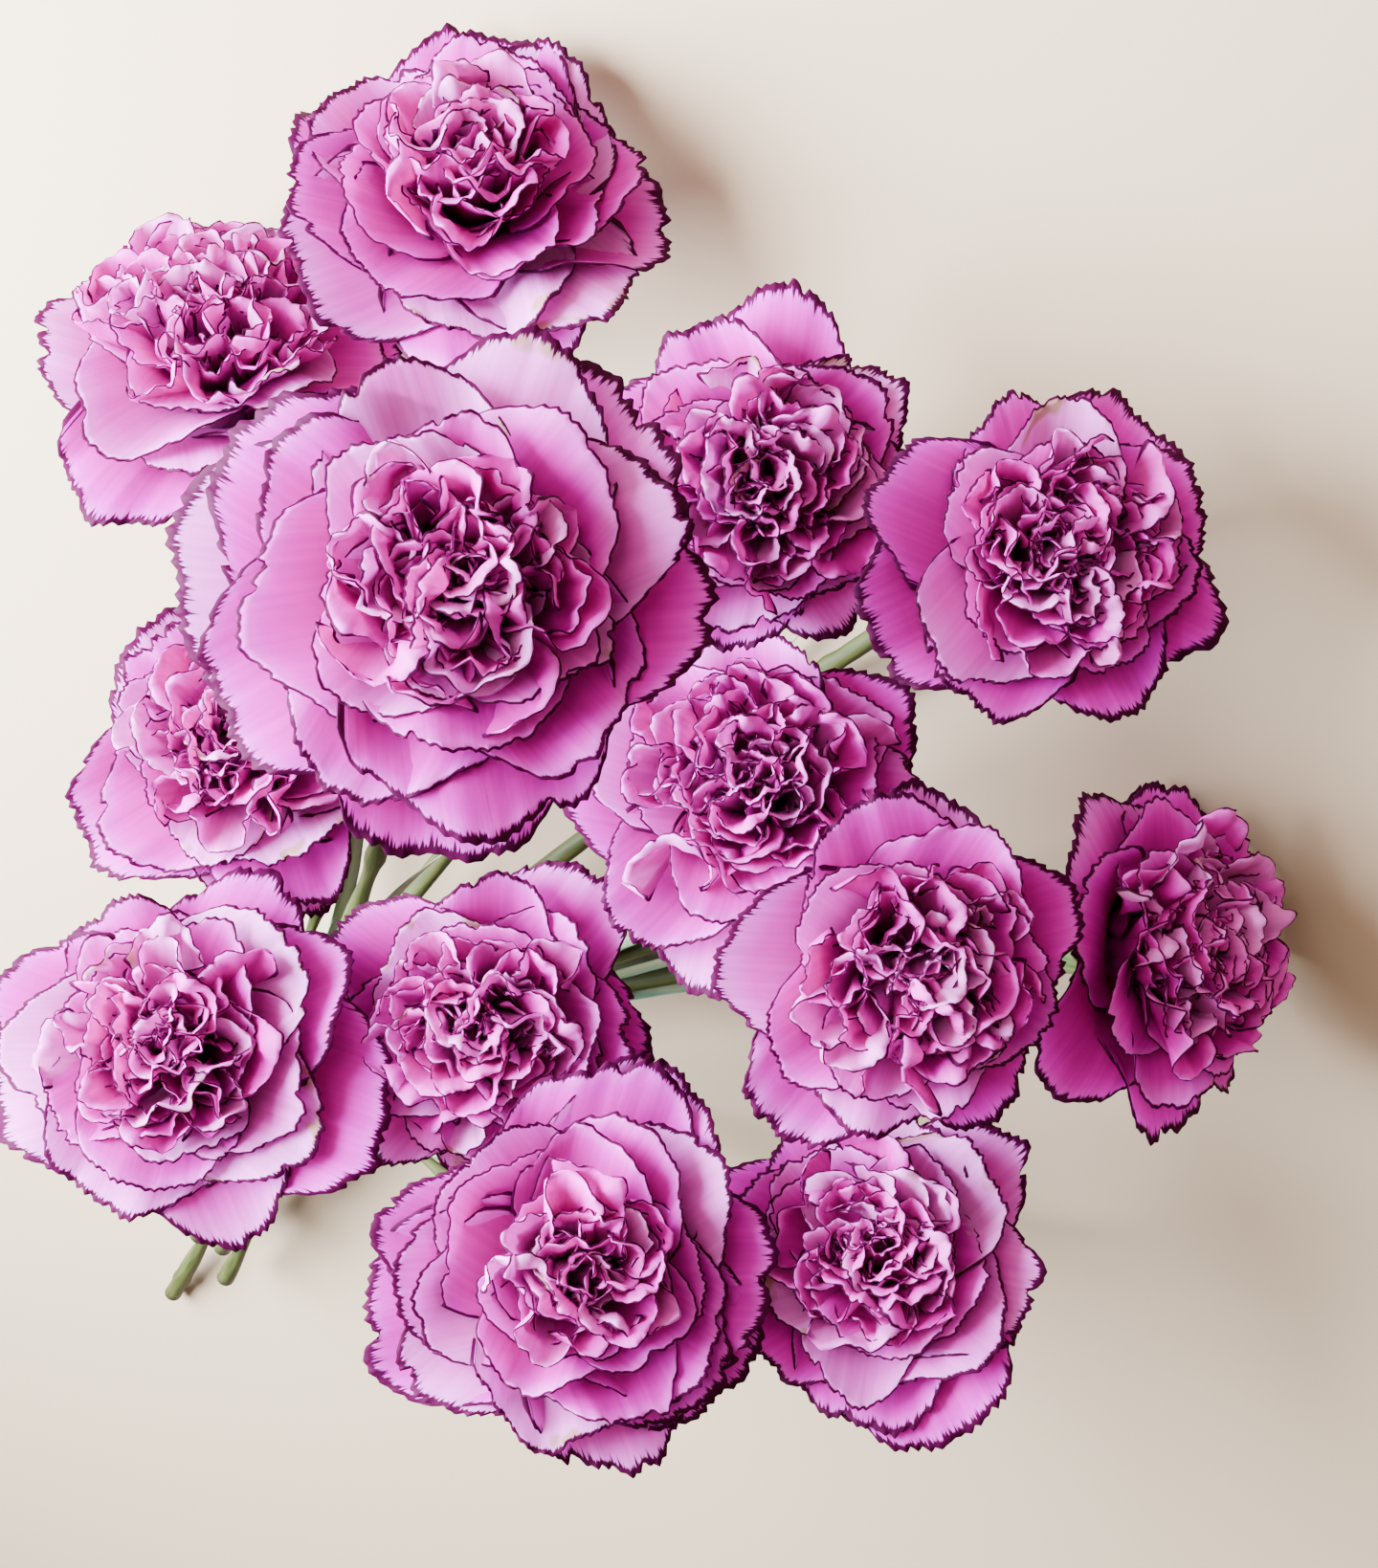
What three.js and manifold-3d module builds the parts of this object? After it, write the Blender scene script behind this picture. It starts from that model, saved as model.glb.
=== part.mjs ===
// A bunch of thirteen cut carnations lying on a table.
//
// The heads are gathered into a dome at the -Y end and look forward and up. Their stems run
// back along +Y, draw together behind the heads, flare a little and end in plain cuts.
// Millimetres, +Z up, the table top at z = 0.

import * as THREE from "three";
import { mergeVertices } from "three/addons/utils/BufferGeometryUtils.js";
import Module from "manifold-3d";

const wasm = await Module();
wasm.setup();

// ---- Driving dimensions -------------------------------------------------------------------

// One row per flower. at: the centre of the bloom's rim. turn and lift, in degrees: the way the
// bloom faces, turned from -Y towards +X and raised above the horizontal. bloom: its diameter.
// slot: the stem's column and row in the gathered bundle, counted from its middle. cut: how much
// shorter it is cut than the longest stem.
const FLOWERS = [
  { at: [112, -55, 35], turn: 12, lift: 31, bloom: 79, slot: [1.5, -1], cut: 64 },
  { at: [139, 20, 40], turn: 19, lift: 19, bloom: 80, slot: [2, 0], cut: 70 },
  { at: [52, -52, 136], turn: -6, lift: 47, bloom: 88, slot: [-0.5, 1], cut: 66 },
  { at: [27, -60, 58], turn: -7, lift: 55, bloom: 64, slot: [0.5, -1], cut: 72 },
  { at: [-24, -84, 50], turn: -10, lift: 47, bloom: 66, slot: [-0.5, -1], cut: 0 },
  { at: [-12, -5, 63], turn: 22, lift: 43, bloom: 73, slot: [0, 0], cut: 68 },
  { at: [82, 71, 74], turn: 10, lift: 45, bloom: 74, slot: [1.5, 1], cut: 74 },
  { at: [48, 100, 128], turn: 9, lift: 43, bloom: 79, slot: [0.5, 1], cut: 66 },
  { at: [1, 73, 89], turn: -3, lift: 58, bloom: 74, slot: [1, 0], cut: 72 },
  { at: [-56, -14, 86], turn: -17, lift: 51, bloom: 69, slot: [-1, 0], cut: 67 },
  { at: [-98, -18, 33], turn: -29, lift: 20, bloom: 73, slot: [-1.5, -1], cut: 75 },
  { at: [-47, 74, 127], turn: -1, lift: 36, bloom: 84, slot: [-1.5, 1], cut: 70 },
  { at: [-98, 56, 85], turn: 21, lift: 36, bloom: 73, slot: [-2, 0], cut: 44 },
];

// The leaf pairs. flower: whose stem, counted from 1. joint: at which of its joints, counted
// from the calyx. twist: the pair's turn about the stem, in degrees. long, spread: a blade's length and
// how far its tip stands from the stem.
const LEAF_PAIRS = [
  { flower: 1, joint: 2, twist: 90, long: 70, spread: 16 },
  { flower: 1, joint: 1, twist: 90, long: 46, spread: 14 },
  { flower: 2, joint: 2, twist: 90, long: 90, spread: 16 },
  { flower: 3, joint: 3, twist: 120, long: 80, spread: 16 },
  { flower: 3, joint: 1, twist: 0, long: 46, spread: 15 },
  { flower: 4, joint: 2, twist: 90, long: 85, spread: 15 },
  { flower: 4, joint: 1, twist: 75, long: 46, spread: 15 },
  { flower: 5, joint: 2, twist: 90, long: 90, spread: 16 },
  { flower: 6, joint: 2, twist: 45, long: 90, spread: 14 },
  { flower: 7, joint: 2, twist: 60, long: 70, spread: 15 },
  { flower: 8, joint: 1, twist: 0, long: 46, spread: 16 },
  { flower: 9, joint: 1, twist: 150, long: 35, spread: 16 },
  { flower: 10, joint: 2, twist: 45, long: 90, spread: 16 },
  { flower: 10, joint: 1, twist: 0, long: 46, spread: 15 },
  { flower: 11, joint: 2, twist: 75, long: 90, spread: 16 },
  { flower: 11, joint: 1, twist: 75, long: 46, spread: 15 },
  { flower: 12, joint: 2, twist: 30, long: 90, spread: 16 },
  { flower: 12, joint: 1, twist: 105, long: 46, spread: 15 },
  { flower: 13, joint: 2, twist: 0, long: 90, spread: 16 },
  { flower: 13, joint: 1, twist: 90, long: 46, spread: 13 },
];

const BODY = 0.93; // the petals' solid, as a share of the bloom's diameter
const THROAT = 13; // from the calyx's mouth to the bloom's rim, along its axis
const SKIRT_WAVE = 2.0; // how far the guard petals' rim rises and falls
const TUFT_WAVE = 1.5; // the same for the crowded middle
const PRESS = 2.5; // petals nearer the table than this are pressed flatter against it

const CALYX_LENGTH = 26;
const CALYX_MOUTH = 7.2; // outside radius at the mouth
const CALYX_BASE = 4.4; // outside radius near the stem
const CALYX_WALL = 0.8;
const CALYX_TOOTH = 2.6; // length of its five pointed teeth
const CLAW_DEPTH = 16; // how far the petals' claws reach down inside it

const NECK_RADIUS = 2.0; // the stem under the calyx
const CUT_RADIUS = 2.8; // the stem at its cut end
const JOINT_SWELL = 0.5; // how far a swollen joint stands proud of the stem
const JOINT_SPACING = 58;
const NECK_REACH = 50; // how long a neck keeps the bloom's direction before it bends
const BUNDLE_REACH = 75; // how early a stem takes the bundle's direction

const GATHER = new THREE.Vector3(33, 220, 30); // middle of the bundle where it is narrowest
const CUT_END = new THREE.Vector3(27, 352, 10); // middle of the bundle at the longest stem's end
const SLOT_PITCH = 2 * (CUT_RADIUS + JOINT_SWELL) + 0.4; // between neighbouring stems at the gather
const FLARE_ACROSS = 1.35; // widening of the bundle from the gather to the cut ends

const SHEATH_LENGTH = 4.5;
const SHEATH_BELOW = 3.5; // from a sheath to the middle of the joint it grows from
const SHEATH_WALL = 0.9;
const BLADE_WIDTH = 6.5;
const BLADE_THICKNESS = 1.0;
const BLADE_CHANNEL = 0.25; // how far a blade's edges turn in towards the stem, per width

const GAP = 0.3; // clearance between pieces that would touch

const RIM_LOBES = 6;
const TUFT_LOBES = 8;
const BLOOM_SEGMENTS = 20;
const STEM_SIDES = 6;
const SHEATH_SIDES = 8;

const MATERIALS = {
  petal: new THREE.MeshStandardMaterial({ color: 0xd99bd2, roughness: 0.75, metalness: 0 }),
  stem: new THREE.MeshStandardMaterial({ color: 0x76824f, roughness: 0.6, metalness: 0 }),
  calyx: new THREE.MeshStandardMaterial({ color: 0x7f9468, roughness: 0.65, metalness: 0 }),
  leaf: new THREE.MeshStandardMaterial({ color: 0x5d7663, roughness: 0.7, metalness: 0 }),
};

// ---- Helpers ------------------------------------------------------------------------------

const UP = new THREE.Vector3(0, 0, 1);
const ACROSS = new THREE.Vector3(1, 0, 0);
const rad = THREE.MathUtils.degToRad;

// Moves every vertex of a geometry by place(point), which changes the point it is given.
function reshape(geometry, place) {
  const position = geometry.getAttribute("position");
  const point = new THREE.Vector3();
  for (let i = 0; i < position.count; i++) {
    point.fromBufferAttribute(position, i);
    place(point);
    position.setXYZ(i, point.x, point.y, point.z);
  }
  return geometry;
}

// A solid of revolution about Z from a list of [radius, height] that runs upwards.
function turned(profile, segments) {
  const points = profile.map(([radius, height]) => new THREE.Vector2(radius, height));
  return new THREE.LatheGeometry(points, segments).rotateX(Math.PI / 2);
}

function toSolid(geometry) {
  const bare = new THREE.BufferGeometry();
  bare.setAttribute("position", geometry.getAttribute("position"));
  bare.setIndex(geometry.index);
  const merged = mergeVertices(bare, 1e-3);
  return new wasm.Manifold(new wasm.Mesh({
    numProp: 3,
    vertProperties: merged.getAttribute("position").array,
    triVerts: new Uint32Array(merged.index.array),
  }));
}

function toGeometry(solid) {
  const mesh = solid.getMesh();
  const geometry = new THREE.BufferGeometry();
  geometry.setAttribute("position", new THREE.BufferAttribute(mesh.vertProperties, 3));
  geometry.setIndex(new THREE.BufferAttribute(mesh.triVerts, 1));
  geometry.computeVertexNormals();
  return geometry;
}

// ---- Where each flower stands -------------------------------------------------------------

function facing({ turn, lift }) {
  const level = Math.cos(rad(lift));
  return new THREE.Vector3(
    level * Math.sin(rad(turn)),
    -level * Math.cos(rad(turn)),
    Math.sin(rad(lift)),
  );
}

const BUNDLE_ALONG = CUT_END.clone().sub(GATHER).normalize();
const BUNDLE_UP = new THREE.Vector3().crossVectors(ACROSS, BUNDLE_ALONG).normalize();

function slotPoint(middle, [column, row], widening) {
  return middle.clone()
    .addScaledVector(ACROSS, column * SLOT_PITCH * widening)
    .addScaledVector(BUNDLE_UP, row * SLOT_PITCH * 0.87);
}

// The stem's centre line, from the foot of the calyx to the cut end.
function stemLine(flower) {
  const axis = facing(flower);
  const foot = new THREE.Vector3(...flower.at).addScaledVector(axis, -THROAT - CALYX_LENGTH - GAP);
  const gather = slotPoint(GATHER, flower.slot, 1);
  const cut = slotPoint(CUT_END, flower.slot, FLARE_ACROSS);
  const along = cut.clone().sub(gather).normalize();
  cut.addScaledVector(along, -flower.cut);
  const line = new THREE.CurvePath();
  line.add(new THREE.CubicBezierCurve3(
    foot,
    foot.clone().addScaledVector(axis, -NECK_REACH),
    gather.clone().addScaledVector(along, -BUNDLE_REACH),
    gather,
  ));
  line.add(new THREE.LineCurve3(gather, cut));
  return line;
}

function stemRadius(share) {
  return THREE.MathUtils.lerp(NECK_RADIUS, CUT_RADIUS, Math.sqrt(share));
}

// A frame on the centre line: z along the stem towards the cut end, x and y across it.
function frameAt(line, distance) {
  const share = THREE.MathUtils.clamp(distance / line.getLength(), 0, 1);
  const origin = line.getPointAt(share);
  const z = line.getTangentAt(share);
  const x = new THREE.Vector3().crossVectors(z, ACROSS).normalize();
  const y = new THREE.Vector3().crossVectors(z, x);
  return new THREE.Matrix4().makeBasis(x, y, z).setPosition(origin);
}

// ---- Pieces -------------------------------------------------------------------------------

// A stem: a round bar bent along its centre line, with a ring of vertices at each joint's
// middle and both its feet, and one above where a leaf sheath may stand.
function stemGeometry(line) {
  const length = line.getLength();
  const stations = [0, 14, 28, 40];
  for (let joint = JOINT_SPACING; joint < length - 12; joint += JOINT_SPACING) {
    stations.push(joint - SHEATH_BELOW - SHEATH_LENGTH, joint - 2.5, joint, joint + 2.5);
    if (joint < length - 3 * JOINT_SPACING) stations.push(joint + JOINT_SPACING / 2);
  }
  stations.push(length);
  const bar = new THREE.CylinderGeometry(1, 1, stations.length - 1, STEM_SIDES, stations.length - 1);
  bar.rotateX(Math.PI / 2);
  return reshape(bar, (point) => {
    const station = Math.round(point.z + (stations.length - 1) / 2);
    const distance = stations[station];
    const atJoint = distance > 0 && distance % JOINT_SPACING === 0;
    const radius = stemRadius(distance / length) + (atJoint ? JOINT_SWELL : 0);
    point.set(point.x * radius, point.y * radius, 0).applyMatrix4(frameAt(line, distance));
  });
}

// A calyx: a cup on +Z with its foot at the origin, open at the mouth, with five teeth.
function calyxGeometry() {
  const insideMouth = CALYX_MOUTH - CALYX_WALL;
  const floor = CALYX_LENGTH - CLAW_DEPTH - 1.5;
  const cup = turned([
    [0, 0],
    [CALYX_BASE - 1.4, 0],
    [CALYX_BASE, 2.4],
    [CALYX_BASE + 1.2, CALYX_LENGTH * 0.4],
    [CALYX_MOUTH, CALYX_LENGTH],
    [insideMouth, CALYX_LENGTH],
    [CALYX_BASE + 0.8, floor + 4],
    [0, floor],
  ], 10);
  return reshape(cup, (point) => {
    if (point.z < CALYX_LENGTH - 0.1) return;
    point.z += CALYX_TOOTH * 0.5 * Math.cos(5 * Math.atan2(point.y, point.x));
  });
}

// A bloom on +Z with its origin at the middle of the rim: claws that fill the calyx, the skirt
// of guard petals, then the crowded middle, which is dimpled at its centre.
function bloomGeometry(diameter, seed) {
  const rim = BODY * diameter / 2;
  const claw = CALYX_BASE + 0.8 - GAP;
  const throat = CALYX_MOUTH - CALYX_WALL - GAP;
  const body = turned([
    [0, -THROAT - CLAW_DEPTH],
    [claw - 0.6, -THROAT - CLAW_DEPTH + 5],
    [throat - 0.4, -THROAT - 1],
    [throat - 0.4, -THROAT + CALYX_TOOTH],
    [0.5 * rim, -6.5],
    [0.82 * rim, -3],
    [rim, -0.6],
    [0.985 * rim, 0.8],
    [0.76 * rim, 2.5],
    [0.66 * rim, 9],
    [0.44 * rim, 13],
    [0.18 * rim, 13.5],
    [0, 11],
  ], BLOOM_SEGMENTS);
  return reshape(body, (point) => {
    const angle = Math.atan2(point.y, point.x);
    const radius = Math.hypot(point.x, point.y) / rim;
    const skirt = THREE.MathUtils.smoothstep(radius, 0.55, 1) * (point.z < 2 ? 1 : 0);
    const tuft = THREE.MathUtils.smoothstep(radius, 0.1, 0.45) * (point.z > 2 ? 1 : 0);
    point.z += skirt * SKIRT_WAVE * Math.sin(RIM_LOBES * angle + seed);
    point.z += tuft * TUFT_WAVE * Math.cos(TUFT_LOBES * angle + seed);
    const wide = 1 + skirt * 0.05 * Math.cos((RIM_LOBES - 1) * angle + seed);
    point.x *= wide;
    point.y *= wide;
  });
}

// A pair of blades from one sheath. +Z runs down the stem, so the blades grow towards -Z.
function leafPairGeometry(stemOutside, long, spread) {
  const inner = (stemOutside + GAP) / Math.cos(Math.PI / SHEATH_SIDES);
  const outer = inner + SHEATH_WALL;
  const ring = turned([
    [outer, -SHEATH_LENGTH / 2],
    [outer, SHEATH_LENGTH / 2],
    [inner, SHEATH_LENGTH / 2],
    [inner, -SHEATH_LENGTH / 2],
    [outer, -SHEATH_LENGTH / 2],
  ], SHEATH_SIDES);
  let pair = toSolid(ring);
  for (const side of [1, -1]) {
    const reach = long * (side > 0 ? 1 : 0.9);
    const stand = spread * (side > 0 ? 1 : 0.8);
    const blade = new THREE.CylinderGeometry(1, 1, 1, 4, 5).rotateX(-Math.PI / 2);
    reshape(blade, (point) => {
      const share = point.z + 0.5;
      const width = BLADE_WIDTH / 2 * (1 - share ** 2.5) + 0.35;
      const thickness = BLADE_THICKNESS / 2 * (1 - 0.55 * share);
      const channel = BLADE_CHANNEL * Math.abs(point.y) * width * share ** 0.3;
      const x = inner + SHEATH_WALL / 2 + stand * share ** 1.7 + point.x * thickness - channel;
      point.set(side * x, -side * point.y * width, 1 - reach * share);
    });
    pair = pair.add(toSolid(blade));
  }
  return toGeometry(pair);
}

// ---- The bunch ----------------------------------------------------------------------------

// The table pushes the lowest petals up. The squeeze keeps their order, so none folds over.
function pressOnTable(geometry) {
  return reshape(geometry, (point) => {
    if (point.z < PRESS) point.z = PRESS * Math.exp((point.z - PRESS) / PRESS);
  });
}

const bunch = new THREE.Group();
bunch.name = "bunch_of_carnations";

function addPiece(name, geometry, material) {
  const mesh = new THREE.Mesh(geometry, material);
  mesh.name = name;
  bunch.add(mesh);
  return mesh;
}

// Turns a geometry on +Z to face a direction and moves it to a point.
function stand(geometry, axis, origin) {
  const turn = new THREE.Quaternion().setFromUnitVectors(UP, axis);
  return geometry.applyQuaternion(turn).translate(...origin);
}

const stemLines = FLOWERS.map(stemLine);

FLOWERS.forEach((flower, index) => {
  const number = String(index + 1).padStart(2, "0");
  const axis = facing(flower);
  const centre = new THREE.Vector3(...flower.at);
  const foot = centre.clone().addScaledVector(axis, -THROAT - CALYX_LENGTH);
  addPiece(`stem_${number}`, stemGeometry(stemLines[index]), MATERIALS.stem);
  addPiece(`calyx_${number}`, stand(calyxGeometry(), axis, foot), MATERIALS.calyx);
  const bloom = stand(bloomGeometry(flower.bloom, 1.7 * index), axis, centre);
  addPiece(`petals_${number}`, pressOnTable(bloom), MATERIALS.petal);
});

LEAF_PAIRS.forEach(({ flower, joint, twist, long, spread }, index) => {
  const number = String(index + 1).padStart(2, "0");
  const line = stemLines[flower - 1];
  const down = joint * JOINT_SPACING - SHEATH_BELOW - SHEATH_LENGTH / 2;
  const place = frameAt(line, down).multiply(new THREE.Matrix4().makeRotationZ(rad(twist)));
  const pair = leafPairGeometry(stemRadius(down / line.getLength()), long, spread);
  addPiece(`leaves_${number}`, pair.applyMatrix4(place), MATERIALS.leaf);
});

// The part's origin is the middle of its footprint, on the table.
const box = new THREE.Box3().setFromObject(bunch);
const middle = box.getCenter(new THREE.Vector3());
bunch.children.forEach((mesh) => mesh.geometry.translate(-middle.x, -middle.y, -box.min.z));

export default bunch;
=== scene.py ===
"""A bunch of thirteen lavender-pink carnations, their toothed petals edged in dark purple,
lying on a pale table."""
import math

import bmesh
import bpy
import numpy as np
from mathutils import Matrix, Vector


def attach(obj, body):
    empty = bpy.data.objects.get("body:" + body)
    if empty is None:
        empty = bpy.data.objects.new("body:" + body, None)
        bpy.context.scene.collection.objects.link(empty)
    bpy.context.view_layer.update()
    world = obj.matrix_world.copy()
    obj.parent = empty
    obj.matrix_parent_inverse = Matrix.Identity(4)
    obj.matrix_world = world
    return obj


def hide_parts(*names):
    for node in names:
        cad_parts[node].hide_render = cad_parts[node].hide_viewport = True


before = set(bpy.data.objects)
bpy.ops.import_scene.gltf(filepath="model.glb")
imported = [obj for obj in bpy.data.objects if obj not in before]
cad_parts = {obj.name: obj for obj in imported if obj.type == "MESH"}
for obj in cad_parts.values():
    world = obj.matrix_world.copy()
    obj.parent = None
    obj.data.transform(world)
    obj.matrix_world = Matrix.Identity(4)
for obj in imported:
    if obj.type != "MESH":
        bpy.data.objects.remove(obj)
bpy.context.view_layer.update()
MM = 0.001
FLOWERS = range(1, 14)
LEAF_PAIRS = range(1, 21)

# ---- The bloom's build, in millimetres -----------------------------------------------------

CALYX_LENGTH = 26
THROAT = 13  # from the calyx's mouth up to the bloom's rim, along its axis
BODY_SHARE = 0.89  # the CAD solid's widest reach, as a share of the loose petals' reach
PETAL_THICKNESS = 0.3
TABLE_PRESS = 2.5  # petals nearer the table than this are pressed flatter against it
GOLDEN_ANGLE = 2.39996  # each petal grows this far round from the one before
TURN = 6.3  # about a full turn, for the random starts of petals and waves
FIRST_SEED = 40
PATTERN_SHIFT = 40  # each green piece lies this far on in the grain from the one before

# How each bloom has opened. guards: broad outer petals, laid in a spiral. curls: small crumpled
# petals of the middle. tuft: how far the middle reaches, as a share of the bloom's radius.
# dome: the middle's height, as a share of the radius. cup: degrees by which the guards stand up.
# side and reach: the way, in degrees round the bloom, to which its guards are longer, and by
# how much.
BLOOMS = {
    1: dict(guards=24, curls=24, tuft=0.38, dome=0.48, cup=24, side=57, reach=0.12),
    2: dict(guards=18, curls=44, tuft=0.60, dome=0.66, cup=-8, side=66, reach=0.18),
    3: dict(guards=24, curls=38, tuft=0.44, dome=0.42, cup=0, side=0, reach=0.00),
    4: dict(guards=18, curls=44, tuft=0.60, dome=0.50, cup=6, side=164, reach=0.12),
    5: dict(guards=18, curls=44, tuft=0.58, dome=0.56, cup=4, side=97, reach=0.18),
    6: dict(guards=16, curls=46, tuft=0.64, dome=0.56, cup=10, side=122, reach=0.14),
    7: dict(guards=18, curls=38, tuft=0.56, dome=0.50, cup=10, side=63, reach=0.14),
    8: dict(guards=20, curls=36, tuft=0.50, dome=0.44, cup=4, side=337, reach=0.15),
    9: dict(guards=18, curls=42, tuft=0.58, dome=0.48, cup=8, side=242, reach=0.10),
    10: dict(guards=16, curls=44, tuft=0.62, dome=0.56, cup=8, side=126, reach=0.18),
    11: dict(guards=18, curls=40, tuft=0.60, dome=0.60, cup=-10, side=98, reach=0.15),
    12: dict(guards=28, curls=22, tuft=0.36, dome=0.46, cup=24, side=259, reach=0.10),
    13: dict(guards=20, curls=36, tuft=0.50, dome=0.46, cup=4, side=315, reach=0.10),
}


# ---- Small helpers ---------------------------------------------------------------------------

def colour(hex_code):
    """An sRGB hex colour as linear RGBA."""
    channels = [int(hex_code[i:i + 2], 16) / 255 for i in (1, 3, 5)]
    linear = [c / 12.92 if c <= 0.04045 else ((c + 0.055) / 1.055) ** 2.4 for c in channels]
    return (*linear, 1.0)


def add_node(tree, kind, links=None, **settings):
    """Adds a shader node. settings are its properties; links are its inputs, by name or number,
    each a value or another node's socket."""
    node = tree.nodes.new(kind)
    for name, value in settings.items():
        setattr(node, name, value)
    for key, value in (links or {}).items():
        if isinstance(value, bpy.types.NodeSocket):
            tree.links.new(value, node.inputs[key])
        else:
            node.inputs[key].default_value = value
    return node


def new_material(name):
    """An empty material and its node tree."""
    material = bpy.data.materials.new(name)
    material.use_nodes = True
    material.node_tree.nodes.clear()
    return material, material.node_tree


def smooth(x):
    """0 to 1 with a soft start and end; beyond them it stays."""
    x = np.clip(x, 0, 1)
    return x * x * (3 - 2 * x)


def node_points(name):
    """The points of a CAD node, in metres."""
    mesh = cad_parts[name].data
    points = np.zeros(len(mesh.vertices) * 3)
    mesh.vertices.foreach_get("co", points)
    return points.reshape(-1, 3)


def finish_piece(mesh, name, material, node):
    """Makes an object of a mesh, in place of the CAD node it stands for."""
    piece = bpy.data.objects.new(name, mesh)
    bpy.context.scene.collection.objects.link(piece)
    mesh.materials.append(material)
    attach(piece, "root")
    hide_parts(node)
    return piece


# ---- Where each bloom stands, read from the frame --------------------------------------------

def bloom_place(number):
    """The bloom's rim centre, its axes (two across, one outwards) and its radius."""
    calyx = node_points(f"calyx_{number:02d}")
    petals = node_points(f"petals_{number:02d}")
    middle = calyx.mean(0)
    axis = np.linalg.svd(calyx - middle, full_matrices=False)[2][0]
    if axis @ (petals.mean(0) - middle) < 0:
        axis = -axis
    foot = middle + axis * ((calyx - middle) @ axis).min()
    centre = foot + axis * (CALYX_LENGTH + THROAT) * MM
    across = np.cross(axis, (0, 0, 1.0))
    across /= np.linalg.norm(across)
    upward = np.cross(across, axis)
    off_axis = petals - centre - np.outer((petals - centre) @ axis, axis)
    radius = np.linalg.norm(off_axis, axis=1).max() / BODY_SHARE
    return centre, np.array([across, upward, axis]), radius


# ---- Petals ----------------------------------------------------------------------------------

GUARD_STEPS = (22, 11)  # a guard petal's steps across and along
CURL_STEPS = (12, 8)
RIM_CUTS = 3  # each step of a petal's far edge is cut in four for the teeth
RIM = 0.999  # points farther along than this are on the far edge
ROW_CROWDING = 1.3  # the rows lie closer together towards the far edge
TOOTH_STEPS = (0, 0.6, 1.0, 0.45)  # one tooth's steps, as shares of its height
MOST_TEETH = 200  # more than any rim has
NOTCHES = 3  # deeper cuts in a petal's rim
NOTCH_WIDTH = 0.045  # as a share of half the petal's width
CLAW_DEPTH = 6  # how far below the calyx's mouth a petal's claw starts
CLAW_SHARE = 0.13  # the claw's width, as a share of the fan's
BOWL = 0.09  # how far the sides of a guard stand up, as a share of half its width


def petal_sheet(across, along):
    """A flat sheet from -1 to 1 across and 0 to 1 along, its far edge cut finer for the teeth."""
    sheet = bmesh.new()
    bmesh.ops.create_grid(sheet, x_segments=across, y_segments=along, size=1)
    rim = [e for e in sheet.edges if all(v.co.y > RIM for v in e.verts)]
    bmesh.ops.subdivide_edges(sheet, edges=rim, cuts=RIM_CUTS)
    bmesh.ops.triangulate(sheet, faces=[f for f in sheet.faces if len(f.verts) > 4])
    uv = sheet.loops.layers.uv.new("Petal")
    for vertex in sheet.verts:
        share = (vertex.co.y + 1) / 2
        vertex.co.y = 1 - (1 - share) ** ROW_CROWDING
    for face in sheet.faces:
        for loop in face.loops:
            loop[uv].uv = ((loop.vert.co.x + 1) / 2, loop.vert.co.y)
    mesh = bpy.data.meshes.new("petal_sheet")
    sheet.to_mesh(mesh)
    sheet.free()
    return mesh


def along_curve(points, t):
    """A cubic Bezier curve and its direction at each t."""
    a, b, c, d = (np.array(p, float)[:, None] for p in points)
    s = 1 - t
    place = s**3 * a + 3 * s * s * t * b + 3 * s * t * t * c + t**3 * d
    way = 3 * (s * s * (b - a) + 2 * s * t * (c - b) + t * t * (d - c))
    return place, way / np.linalg.norm(way, axis=0)


def guard_form(share, bloom, azimuth, rng):
    """A guard petal's form, from the outermost (share 0) to the last before the middle (1).
    out and up: where the rim ends, and wide: half the width, as shares of the bloom's radius.
    wave and crimp: the heights of its broad and narrow waves, as shares of half the width.
    frill and tooth: the heights of the rim's ripple and teeth in mm. lean: the way the rim
    points, in degrees from the bloom's axis. bend: how loosely it wraps round the axis. round:
    how far its corners are cut back. flute: where its broad waves start. inner: how deep in
    the bloom it grows, from 0 outside to 1 at the centre."""
    out = 1 - (1 - bloom["tuft"] * 0.92) * share**1.25 + rng.uniform(-0.05, 0.05)
    longer = max(0.0, math.cos(azimuth - math.radians(bloom["side"])))
    out *= 1 + bloom["reach"] * (1 - share) * longer
    return dict(
        out=out, up=-0.05 + bloom["dome"] * 0.9 * share**0.75 + rng.uniform(-0.02, 0.02),
        lean=97 - bloom["cup"] * (0.4 + share) - 45 * share + rng.uniform(-8, 8),
        wide=(0.60 - 0.24 * share) * rng.uniform(0.82, 1.16),
        wave=0.13 - 0.03 * share, crimp=rng.uniform(0.004, 0.018), frill=0.25,
        bend=rng.uniform(0.8, 1.15), tooth=1.05 - 0.55 * share, inner=0.5 * share,
        away=0.0, facing=azimuth + rng.uniform(-0.18, 0.18), azimuth=azimuth,
        round=0.27 - 0.08 * share, flute=bloom["flute"] + 2.2 * share)


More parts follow.
